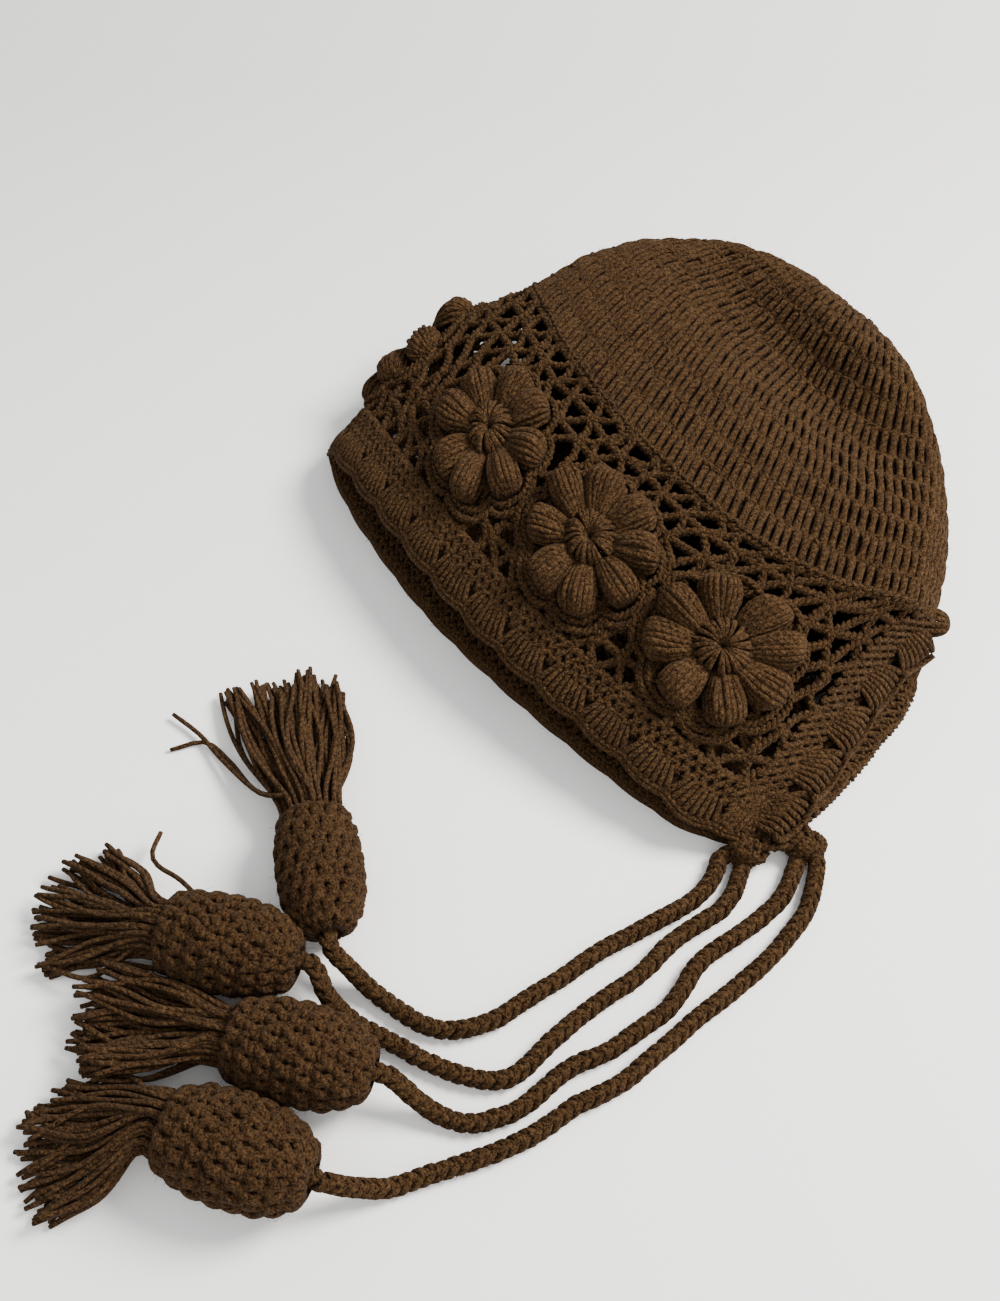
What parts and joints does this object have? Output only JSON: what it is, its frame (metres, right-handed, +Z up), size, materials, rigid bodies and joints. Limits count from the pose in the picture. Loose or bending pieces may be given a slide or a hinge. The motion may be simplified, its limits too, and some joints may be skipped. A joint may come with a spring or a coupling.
{
  "type": "crocheted earflap hat",
  "caption": "Crocheted bonnet-shaped hat with raised flowers, ear points, and braided ties that end in padded barrels with yarn fringes, lying on its side.",
  "frame": {"origin": "middle of the hat's own box in plan, on the surface that it lies on, without its ties, barrels and fringes", "axes": "+X runs along the face edge from the forehead fold to the ear point, +Y from the face edge to the crown, +Z up from the surface"},
  "size_m": [0.3178, 0.4983, 0.0706],
  "materials": {
    "crown_yarn": "matte crocheted wool, tall stitches in rounds",
    "band_yarn": "matte crocheted wool, open chain mesh",
    "border_yarn": "matte crocheted wool, dense rows with a shell edge",
    "flower_yarn": "matte crocheted wool, puffed petals",
    "knot_yarn": "matte wool, tight knot",
    "tie_braid": "matte braided wool cord",
    "barrel_yarn": "matte crocheted wool, dense rows over a filling",
    "fringe_yarn": "matte twisted wool strands"
  },
  "bodies": {
    "root": {"crown": "crown_yarn", "band": "band_yarn", "border": "border_yarn", "flower_forehead": "flower_yarn", "flower_upper_1": "flower_yarn", "flower_upper_2": "flower_yarn", "flower_upper_3": "flower_yarn", "flower_under_1": "flower_yarn", "flower_under_2": "flower_yarn", "flower_under_3": "flower_yarn", "ear_knot_upper": "knot_yarn", "ear_knot_under": "knot_yarn", "tie_1": "tie_braid", "tie_2": "tie_braid", "tie_3": "tie_braid", "tie_4": "tie_braid", "barrel_1": "barrel_yarn", "barrel_2": "barrel_yarn", "barrel_3": "barrel_yarn", "barrel_4": "barrel_yarn", "fringe_1": "fringe_yarn", "fringe_2": "fringe_yarn", "fringe_3": "fringe_yarn", "fringe_4": "fringe_yarn"}
  },
  "joints": []
}
